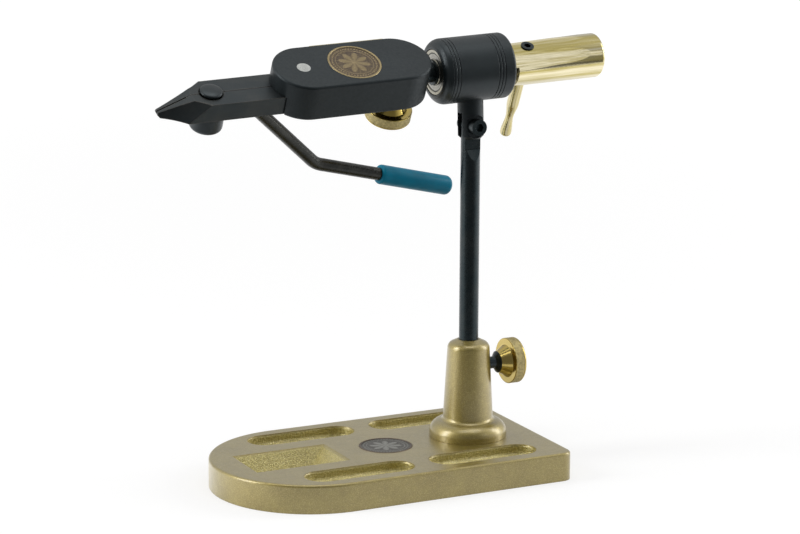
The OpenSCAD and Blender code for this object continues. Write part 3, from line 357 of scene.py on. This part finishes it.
def jaw_steel():
    """Hardened jaw steel: dark, ground lengthwise, browner and paler at its edges, partly from rubbing and
    partly as a painted highlight.
    """
    dark = (0.030, 0.037, 0.040)
    pale = (0.045, 0.049, 0.049)
    rubbed_and_highlit_brown = (0.17, 0.155, 0.135)
    f = Finish("jaw_steel", dark, 0.75, 0.38)
    clouds = f.noise(70.0, 4.0, 0.6)
    lines = ground(f, ALONG, 2400.0, 30.0)
    base = f.mix(f.spread(clouds, 0.32, 0.68), dark, pale)
    rounded = f.edge_normal(0.6)
    # Paler, browner edges: partly rubbing, partly a painted highlight.
    rubbed_and_highlit = f.edge_share(rounded, 0.14)
    f.set("Base Color", f.mix(f.maths("MULTIPLY", rubbed_and_highlit, 0.6), base, rubbed_and_highlit_brown))
    f.set("Roughness", f.spread(lines, 0.3, 0.7, 0.32, 0.46))
    f.set("Normal", f.bump(lines, 0.014, rounded))
    return f.mat


def brass(name, origin, axis, rough, color):
    """Turned brass: fine rings from the lathe, and a little tarnish."""
    f = Finish(name, color, 1.0, rough)
    rings = turning(f, origin, axis, 3200.0)
    clouds = f.noise(60.0, 3.0, 0.5)
    f.set("Base Color", f.mix(f.spread(clouds, 0.3, 0.75, 0.0, 0.5), color, tinted(color, 0.84)))
    f.set("Roughness", f.spread(rings, 0.3, 0.7, rough - 0.05, rough + 0.07))
    f.set("Normal", f.bump(rings, 0.003, f.edge_normal(0.25)))
    return f.mat


def drawn_brass_painted_bands(name, axis, fine, rough, pale):
    """Brass bar, pale where it is polished and olive in lengthwise bands, partly marks of drawing and
    partly painted dark reflection bands, which its ends don't have."""
    olive = (0.41, 0.345, 0.12)
    f = Finish(name, pale, 1.0, rough)
    facing = f.maths("ABSOLUTE", f.vector("DOT_PRODUCT", f.coordinates("Normal"), tuple(axis)))
    beside = f.spread(facing, 0.9, 0.6)
    # Olive lengthwise bands: partly marks of drawing, partly painted dark reflection bands.
    drawing_streaks_and_painted_bands = f.maths("MULTIPLY", ground(f, axis, fine, 60.0), beside)
    hairs = ground(f, axis, fine * 9.0, 40.0)
    share = f.spread(f.maths("ADD", drawing_streaks_and_painted_bands, f.maths("MULTIPLY", hairs, 0.22)), 0.54, 0.76)
    f.set("Base Color", f.mix(share, pale, olive))
    f.set("Roughness", f.spread(hairs, 0.3, 0.7, rough - 0.04, rough + 0.08))
    f.set("Normal", f.bump(hairs, 0.004, f.bump(drawing_streaks_and_painted_bands, 0.10, f.edge_normal(0.25))))
    return f.mat


def knurled_brass(name, color):
    """Brass with the dull, grainy skin of a knurled rim."""
    f = Finish(name, color, 0.95, 0.42)
    grime = f.noise(900.0, 3.0, 0.6)
    f.set("Base Color", f.mix(f.spread(grime, 0.35, 0.7), color, tinted(color, 0.62)))
    f.set("Roughness", f.spread(f.noise(1500.0, 2.0, 0.6), 0.3, 0.7, 0.36, 0.52))
    f.set("Normal", f.bump(f.noise(4200.0, 2.0, 0.6), 0.03))
    return f.mat


def antique(name, field, high, dark, floor, axis):
    """An old cast inlay: dark in its hollows, brighter where it stands up from its floor."""
    f = Finish(name, field, 0.8, 0.46)
    clouds = f.noise(320.0, 4.0, 0.65)
    level = polar(f, floor, axis)[0]
    base = f.mix(f.spread(level, 0.03 * MM, 0.20 * MM), dark, field)
    base = f.mix(f.spread(clouds, 0.35, 0.7, 0.0, 0.35), base, tinted(field, 0.75))
    spots = f.noise(1400.0, 3.0, 0.6)
    f.set("Base Color", f.mix(f.spread(spots, 0.5, 0.72, 0.0, 0.4), base, high))
    f.set("Roughness", f.spread(clouds, 0.3, 0.7, 0.40, 0.56))
    f.set("Normal", f.bump(f.noise(2200.0, 3.0, 0.6), 0.03))
    return f.mat


def plain_metal(name, color, rough, grain):
    """Ground or bright steel and bronze of the small and the hidden pieces."""
    f = Finish(name, color, 1.0, rough)
    clouds = f.noise(240.0, 3.0, 0.6)
    f.set("Base Color", f.mix(f.spread(clouds, 0.3, 0.7), color, tinted(color, 0.82)))
    f.set("Roughness", f.spread(f.noise(1100.0, 3.0, 0.6), 0.25, 0.75, rough - 0.05, rough + 0.1))
    f.set("Normal", f.bump(f.noise(2600.0, 2.0, 0.6), grain, f.edge_normal(0.15)))
    return f.mat


def shield_steel():
    """A bearing's pressed shield: grey steel, dark in the crimp around its edge."""
    pale = (0.30, 0.29, 0.26)
    grey = (0.23, 0.225, 0.20)
    dark = (0.02, 0.02, 0.018)
    f = Finish("shield_steel", grey, 1.0, 0.34)
    radius = polar(f, AXIS_POINT, ALONG)[1]
    crimp = f.spread(radius, SHIELD_CRIMP * MM, (SHIELD_CRIMP + 0.3) * MM)
    clouds = f.mix(f.spread(f.noise(200.0, 3.0, 0.6), 0.3, 0.7), pale, grey)
    f.set("Base Color", f.mix(crimp, clouds, dark))
    f.set("Roughness", f.spread(turning(f, AXIS_POINT, ALONG, 2200.0), 0.3, 0.7, 0.26, 0.42))
    f.set("Normal", f.bump(f.noise(2400.0, 2.0, 0.6), 0.008))
    return f.mat


def vinyl():
    """Dipped teal vinyl: glossy, softly uneven."""
    deep = (0.0003, 0.155, 0.250)
    light = (0.0006, 0.180, 0.290)
    f = Finish("grip_vinyl", deep, 0.0, 0.34, Specular_IOR_Level=0.16)
    clouds = f.noise(130.0, 3.0, 0.55)
    f.set("Base Color", f.mix(f.spread(clouds, 0.3, 0.7), deep, light))
    f.set("Roughness", f.spread(f.noise(420.0, 3.0, 0.6), 0.25, 0.75, 0.30, 0.42))
    swell = f.bump(f.noise(190.0, 2.0, 0.5), 0.12)
    f.set("Normal", f.bump(f.noise(1900.0, 2.0, 0.6), 0.012, swell))
    return f.mat


# The finish of each material slot, and of single nodes that differ from their slot
finishes = {
    "champagne_finish": painted(),
    "dark_pewter": antique("dark_pewter", (0.28, 0.28, 0.255), (0.42, 0.41, 0.38), (0.085, 0.080, 0.072),
                           BASE_FIELD, UP),
    "black_steel": black_steel("black_steel", (0.020, 0.030, 0.034), (0.033, 0.041, 0.043)),
    "black_anodised": blasted("black_anodised"),
    "bearing_steel": plain_metal("bearing_steel", (0.33, 0.315, 0.26), 0.24, 0.006),
    "bright_steel": plain_metal("bright_steel", (0.50, 0.51, 0.49), 0.30, 0.012),
    "jaw_steel": jaw_steel(),
    "brass": drawn_brass_painted_bands("brass", ALONG, 230.0, 0.15, (0.69, 0.63, 0.44)),
    "antique_bronze": antique("antique_bronze", (0.225, 0.175, 0.095), (0.34, 0.27, 0.15),
                              (0.080, 0.060, 0.045), HEAD_FIELD, HEAD_UP),
    "liner_bronze": plain_metal("liner_bronze", (0.55, 0.42, 0.26), 0.32, 0.010),
    "grip_vinyl": vinyl(),
}
special = {
    "drum_housing": anodised("black_anodised_drum", AXIS_POINT, ALONG, 0.40),
    "cone_pin_cap": anodised("black_anodised_cap", CAP_POINT, HEAD_UP, 0.34),
    "cone_pin": anodised("black_oxide_button", CAP_POINT, HEAD_UP, 0.34),
    "front_bearing_shield": shield_steel(),
    "lever_rod": black_steel("black_steel_lever", (0.023, 0.024, 0.022), (0.040, 0.040, 0.036)),
    "turning_handle": drawn_brass_painted_bands("brass_handle", HEAD_UP, 420.0, 0.20, (0.52, 0.46, 0.29)),
}
CAD_SHARP = math.radians(30)
for row in frame["record"]["subparts"]:
    node = row["node"]
    mesh = NODES[node].data
    mesh.materials.clear()
    mesh.materials.append(special.get(node, finishes[row["material_slot"]]))
for node in NODES.values():
    node.data.set_sharp_from_angle(angle=CAD_SHARP)

# Finer pieces that stand for CAD nodes
PIECE_SHARP = math.radians(32)


def basis(origin, x_axis, z_axis):
    """The matrix that takes a point of a turned piece to the row frame."""
    y_axis = z_axis.cross(x_axis)
    m = Matrix((x_axis, y_axis, z_axis)).transposed().to_4x4()
    m.translation = origin
    return m


def add_mesh(name, mesh_data, materials):
    mesh = bpy.data.meshes.new(name)
    mesh_data.to_mesh(mesh)
    mesh_data.free()
    for material in materials:
        mesh.materials.append(material)
    mesh.shade_smooth()
    mesh.set_sharp_from_angle(angle=PIECE_SHARP)
    piece = bpy.data.objects.new(name, mesh)
    bpy.context.scene.collection.objects.link(piece)
    return piece


def turned(name, rows, sides, place, materials, shape):
    """A closed turned mesh. rows are (radius, height, kind), starting and ending on the axis;
    shape(kind, angle, radius, height) may move a point, and kind "*..." takes the second material."""
    bm = bmesh.new()
    rings = []
    for radius, height, kind in rows:
        if radius == 0:
            rings.append([bm.verts.new(place @ Vector((0, 0, height)) * MM)])
            continue
        ring = []
        for i in range(sides):
            angle = 2 * math.pi * i / sides
            r, h = shape(kind, angle, radius, height)
            point = Vector((r * math.cos(angle), r * math.sin(angle), h))
            ring.append(bm.verts.new(place @ point * MM))
        rings.append(ring)
    for low, high, row in zip(rings, rings[1:], rows[1:]):
        for i in range(sides):
            k = (i + 1) % sides
            if len(low) == 1:
                corners = [low[0], high[k], high[i]]
            elif len(high) == 1:
                corners = [low[i], low[k], high[0]]
            else:
                corners = [low[i], low[k], high[k], high[i]]
            face = bm.faces.new(corners)
            face.material_index = 1 if row[2].startswith("*") else 0
    bmesh.ops.recalc_face_normals(bm, faces=bm.faces)
    return add_mesh(name, bm, materials)


def arc_rows(radius, height, bend, start, end, kind, steps):
    rows = []
    for i in range(steps + 1):
        angle = math.radians(start + (end - start) * i / steps)
        rows.append((radius + bend * math.cos(angle), height + bend * math.sin(angle), kind))
    return rows


def line_rows(first, last, steps, kind):
    return [(first[0] + (last[0] - first[0]) * i / steps,
             first[1] + (last[1] - first[1]) * i / steps, kind) for i in range(steps + 1)]


def stand_in(piece, node):
    """The piece takes the place of a CAD node and rides where that node rides."""
    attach(piece, NODES[node]["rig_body"])
    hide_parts(node)


# Inlays with a generic pattern: beads, a ring, a rosette of petals and a boss
BEADS = 48
BEAD_IN = 1.3
BEAD_R = 0.55
BEAD_H = 0.20
RING_IN = 1.5
RING_HALF = 0.28
RING_H = 0.16
PETALS = 8
PETAL_IN = 1.0
PETAL_EDGE = 0.7
PETAL_H = 0.19
VEIN_DEEP = 0.10
BOSS_R = 1.8
BOSS_H = 0.24
CENTRE_H = 0.22
CHAMFER_LOW = 0.1
CHAMFER_TOP = 0.15
CHAMFER_IN = 0.12
INLAY_STEPS = 64
INLAY_SIDES = 288


def inlay(name, diameter, place, node, slot, rim):
    rim_r = diameter / 2
    field_r = rim_r - BADGE_RIM
    floor = BADGE_T - BADGE_DROP
    bead_at = field_r - BEAD_IN
    ring_at = bead_at - RING_IN
    petal_r = ring_at - PETAL_IN
    rows = [(0, 0, ""), (rim_r - CHAMFER_LOW, 0, ""), (rim_r, CHAMFER_LOW, "*"),
            (rim_r, BADGE_T - CHAMFER_TOP, "*"), (rim_r - CHAMFER_TOP, BADGE_T, "*"),
            (field_r + CHAMFER_TOP, BADGE_T, "*"), (field_r, BADGE_T - CHAMFER_IN, "*"),
            (field_r, floor, "")]
    rows += [(field_r * (1 - i / INLAY_STEPS), floor, "field") for i in range(1, INLAY_STEPS)]
    rows += [(0, floor + CENTRE_H, "")]

    def shape(kind, angle, r, h):
        if kind != "field":
            return r, h
        spacing = 2 * math.pi * bead_at / BEADS
        across = (angle * BEADS / (2 * math.pi) + 0.5) % 1 - 0.5
        bead = 1 - ((across * spacing) ** 2 + (r - bead_at) ** 2) / BEAD_R ** 2
        ring = 1 - abs(r - ring_at) / RING_HALF
        turn = abs(((angle * PETALS / (2 * math.pi)) % 1) - 0.5) * 2
        edge = petal_r * (0.50 + 0.50 * math.sin(math.pi * (1 - turn) / 2))
        petal = min(1.0, max(0.0, (edge - r) / PETAL_EDGE)) * (0.6 + 0.4 * (1 - turn))
        vein = 0.35 * max(0.0, 1 - (1 - turn) * 6) * (r > petal_r * 0.25)
        boss = 1 - (r / BOSS_R) ** 2
        lift = max(BEAD_H * math.sqrt(max(bead, 0)), RING_H * min(1.0, max(ring, 0) * 2),
                   PETAL_H * petal - VEIN_DEEP * vein, BOSS_H * math.sqrt(max(boss, 0)))
        return r, h + lift

    piece = turned(name, rows, INLAY_SIDES, place, [finishes[slot], rim], shape)
    stand_in(piece, node)


HEAD_INLAY_D = 25.9
BASE_INLAY_D = 26.2
INLAY_SUNK = BADGE_T - BADGE_DROP
bronze_rim = plain_metal("inlay_rim_brass", (0.34, 0.27, 0.145), 0.36, 0.012)
pewter_rim = plain_metal("inlay_rim_dark", (0.16, 0.125, 0.095), 0.42, 0.012)
inlay("head_inlay", HEAD_INLAY_D, basis(HEAD_FIELD - HEAD_UP * INLAY_SUNK, ALONG, HEAD_UP),
      "head_badge", "antique_bronze", bronze_rim)
inlay("base_inlay", BASE_INLAY_D, basis(BASE_FIELD - UP * INLAY_SUNK, REAR, UP),
      "base_badge", "dark_pewter", pewter_rim)


# Thumb knobs with a knurled rim
KNOB_R = 11.3
KNOB_RIM = 6.0
KNOB_NECK_R = 5.2
KNOB_CONE_R = 8.2
KNOB_CONE = 4.8
KNOB_CORNER = 0.35
KNOB_EDGE = 1.2
KNOB_SOFT = 0.3
KNOB_LIP = 0.4
KNOB_GAP = 0.3
POST_NECK = 0.3
BODY_NECK = 5.0
GROOVE_IN = 3.0
GROOVE_HALF = 0.4
GROOVE_DEEP = 0.25
KNURLS = 88
KNURL_DEEP = 0.16


def knob(name, neck, place, node, polished, rim):
    """A knob on a neck of the given height, cone first and flat face last."""
    face = neck + KNOB_CONE
    top = face + KNOB_RIM
    groove = KNOB_R - GROOVE_IN
    rows = [(0, 0, ""), (KNOB_NECK_R - KNOB_SOFT, 0, ""), (KNOB_NECK_R, KNOB_SOFT, "")]
    cone_start = (KNOB_NECK_R, max(neck, KNOB_SOFT + 0.05))
    cone_end = (KNOB_CONE_R - KNOB_SOFT, face - 0.12)
    rows += line_rows(cone_start, cone_end, 8, "")
    rows += [(KNOB_CONE_R, face, ""), (KNOB_CONE_R + KNOB_LIP, face, ""), (KNOB_R - KNOB_CORNER, face, "")]
    rows += arc_rows(KNOB_R - KNOB_CORNER, face + KNOB_CORNER, KNOB_CORNER, -90, 0, "", 4)
    rows += line_rows((KNOB_R, face + KNOB_CORNER), (KNOB_R, top - KNOB_EDGE), 20, "*knurl")
    rows += arc_rows(KNOB_R - KNOB_EDGE, top - KNOB_EDGE, KNOB_EDGE, 0, 90, "", 6)
    rows += [(groove + GROOVE_HALF, top, ""), (groove, top - GROOVE_DEEP, ""),
             (groove - GROOVE_HALF, top, ""), (0, top, "")]
    pitch = 2 * math.pi * KNOB_R / KNURLS

    def shape(kind, angle, r, h):
        if kind != "*knurl":
            return r, h
        turn = angle * KNURLS / (2 * math.pi)
        lean = h / pitch
        cut = max(abs((turn + lean) % 1 - 0.5), abs((turn - lean) % 1 - 0.5)) * 2
        return r - KNURL_DEEP * cut ** 2, h

    piece = turned(name, rows, KNURLS * 6, place, [polished, rim], shape)
    stand_in(piece, node)


POST_KNOB_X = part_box("post_clamp_knob")[0].x / MM
knurl_finish = knurled_brass("brass_knurl", (0.48, 0.40, 0.19))
knob("post_knob", POST_NECK, basis(Vector((POST_KNOB_X, 0, CLAMP_Z)), UP, REAR), "post_clamp_knob",
     brass("brass_post_knob", KNOB_POINT, REAR, 0.18, (0.47, 0.36, 0.11)), knurl_finish)
body_knob_place = basis(head_point(CLAMP, 0, BODY_LOW - KNOB_GAP), ALONG, -HEAD_UP)
knob("body_knob", BODY_NECK, body_knob_place, "body_clamp_knob",
     brass("brass_body_knob", CLAMP_POINT, HEAD_UP, 0.16, (0.46, 0.345, 0.09)), knurl_finish)


# Floor and world. Distances are in metres, and the glows are strengths
TO_CAMERA = Vector((-0.445, -0.8955, 0))
TO_RIGHT = Vector((0.8955, -0.445, 0))
FLOOR_SIZE = 6.0
FLOOR_FRONT = 0.17
FLOOR_BELOW = 0.1 * MM
FLOOR_SHADE = 0.36
FLOOR_GLOW = 0.64
FLOOR_GLOW_FAR = 0.86
# Strength of the painted pools of light beside the object, seen only in reflections
FLOOR_PAINTED_SIDE_GLOW = 0.42
WORLD_FRONT = (-0.42, -0.88, 0.10)
FRONT_GLOW = 0.22
SIDE_GLOW = 0.95
BACK_SHARE = 0.64
LOW_SHARE = 0.30
WORLD_DIFFUSE = 0.45


def stage_floor():
    """A pale floor that ends in front of the object, out of the picture. In reflections it is brighter to
    the left and the right, a painted pool of light under the softboxes."""
    bm = bmesh.new()
    corners = ((-FLOOR_SIZE, -FLOOR_SIZE), (FLOOR_SIZE, -FLOOR_SIZE),
               (FLOOR_SIZE, FLOOR_FRONT), (-FLOOR_SIZE, FLOOR_FRONT))
    bm.faces.new([bm.verts.new(TO_RIGHT * x + TO_CAMERA * y - UP * FLOOR_BELOW) for x, y in corners])
    mesh = bpy.data.meshes.new("floor")
    bm.to_mesh(mesh)
    bm.free()
    f = Finish("floor", (FLOOR_SHADE, FLOOR_SHADE, FLOOR_SHADE), 0.0, 0.9, Specular_IOR_Level=0.1)
    path = f.add("ShaderNodeLightPath").outputs
    seen = f.maths("MAXIMUM", path["Is Camera Ray"], path["Is Glossy Ray"])
    seen = f.maths("MAXIMUM", seen, path["Is Transmission Ray"])
    level = f.spread(f.vector("LENGTH", f.place()), 0.2, 2.2, FLOOR_GLOW, FLOOR_GLOW_FAR)
    aside = f.maths("ABSOLUTE", f.vector("DOT_PRODUCT", f.place(), tuple(TO_RIGHT)))
    # Painted pools of light to the left and the right, added only for glossy rays.
    sides = f.spread(aside, 0.09, 0.16, 0.0, FLOOR_PAINTED_SIDE_GLOW)
    mirrored = f.maths("MULTIPLY_ADD", sides, path["Is Glossy Ray"], level)
    glow = f.add("ShaderNodeEmission")
    f.feed(glow.inputs["Strength"], f.maths("MULTIPLY", seen, mirrored))
    both = f.add("ShaderNodeAddShader")
    f.feed(both.inputs[0], f.bsdf.outputs[0])
    f.feed(both.inputs[1], glow.outputs[0])
    f.feed(f.tree.nodes["Material Output"].inputs["Surface"], both.outputs[0])
    mesh.materials.append(f.mat)
    floor = bpy.data.objects.new("floor", mesh)
    bpy.context.scene.collection.objects.link(floor)


def studio_world():
    """White to the camera. In reflections its sides are bright, its back and its front dimmer,
    and it is dark below the floor's front edge."""
    world = bpy.data.worlds.new("studio")
    bpy.context.scene.world = world
    world.use_nodes = True
    w = Nodes(world.node_tree)
    direction = w.coordinates("Generated")
    front = w.vector("DOT_PRODUCT", direction, WORLD_FRONT)
    shade = w.spread(front, 0.05, 0.80, SIDE_GLOW, FRONT_GLOW)
    behind = w.spread(front, -0.35, -0.9, 1.0, BACK_SHARE)
    low = w.spread(w.split(direction)[2], -0.20, -0.32, 1.0, LOW_SHARE)
    mirrored = w.maths("MULTIPLY", shade, w.maths("MULTIPLY", behind, low))
    path = w.add("ShaderNodeLightPath").outputs
    diffuse = w.choose(path["Is Diffuse Ray"], mirrored, WORLD_DIFFUSE)
    background = w.tree.nodes["Background"]
    background.inputs["Color"].default_value = (1, 1, 1, 1)
    w.feed(background.inputs["Strength"], w.choose(path["Is Camera Ray"], diffuse, 1.0))


# Softboxes: name, place and size in metres, power in watts
SOFTBOXES = (
    ("left_box", (-1.45, 0.30, 0.65), (0.45, 1.2), 13.0),
    ("right_box", (1.45, -0.27, 0.65), (0.40, 1.2), 9.0),
    ("front_box", (0.66, -1.26, 0.66), (0.35, 0.5), 0.42),
    ("top_box", (-0.1, -0.2, 1.5), (1.2, 0.8), 6.4),
)
LIT_POINT = Vector((-0.03, 0, 0.11))


def softbox(name, place, size, power):
    light = bpy.data.lights.new(name, "AREA")
    light.shape = "RECTANGLE"
    light.size, light.size_y = size
    light.energy = power
    lamp = bpy.data.objects.new(name, light)
    lamp.location = place
    lamp.rotation_euler = (LIT_POINT - Vector(place)).to_track_quat("-Z", "Y").to_euler()
    bpy.context.scene.collection.objects.link(lamp)


stage_floor()
studio_world()
for box in SOFTBOXES:
    softbox(*box)

# The camera that fits the photograph, from the part's own edges
AZIMUTH = math.radians(-26.42)
ELEVATION = math.radians(12.79)
ROLL = math.radians(0.27)
FOCAL_PX = 2919.4
FRAME_PX = 800
SENSOR = 36
DISTANCE = 1448.4
AIM_RIGHT = -33.85
AIM_UP = 96.39
CLIP_NEAR = 0.05
CLIP_FAR = 40
back = Vector((math.sin(AZIMUTH) * math.cos(ELEVATION), -math.cos(AZIMUTH) * math.cos(ELEVATION),
               math.sin(ELEVATION)))
level_right = Vector((math.cos(AZIMUTH), math.sin(AZIMUTH), 0))
level_up = back.cross(level_right)
right = level_right * math.cos(ROLL) + level_up * math.sin(ROLL)
up = level_up * math.cos(ROLL) - level_right * math.sin(ROLL)
eye = level_right * AIM_RIGHT + level_up * AIM_UP + back * DISTANCE
camera_data = bpy.data.cameras.new("camera")
camera_data.sensor_fit = "HORIZONTAL"
camera_data.sensor_width = SENSOR
camera_data.lens = FOCAL_PX / FRAME_PX * SENSOR
camera_data.clip_start = CLIP_NEAR
camera_data.clip_end = CLIP_FAR
camera = bpy.data.objects.new("camera", camera_data)
bpy.context.scene.collection.objects.link(camera)
matrix = Matrix((right, up, back)).transposed().to_4x4()
matrix.translation = eye * MM
camera.matrix_world = matrix
bpy.context.scene.camera = camera
bpy.context.scene.view_settings.view_transform = "Standard"
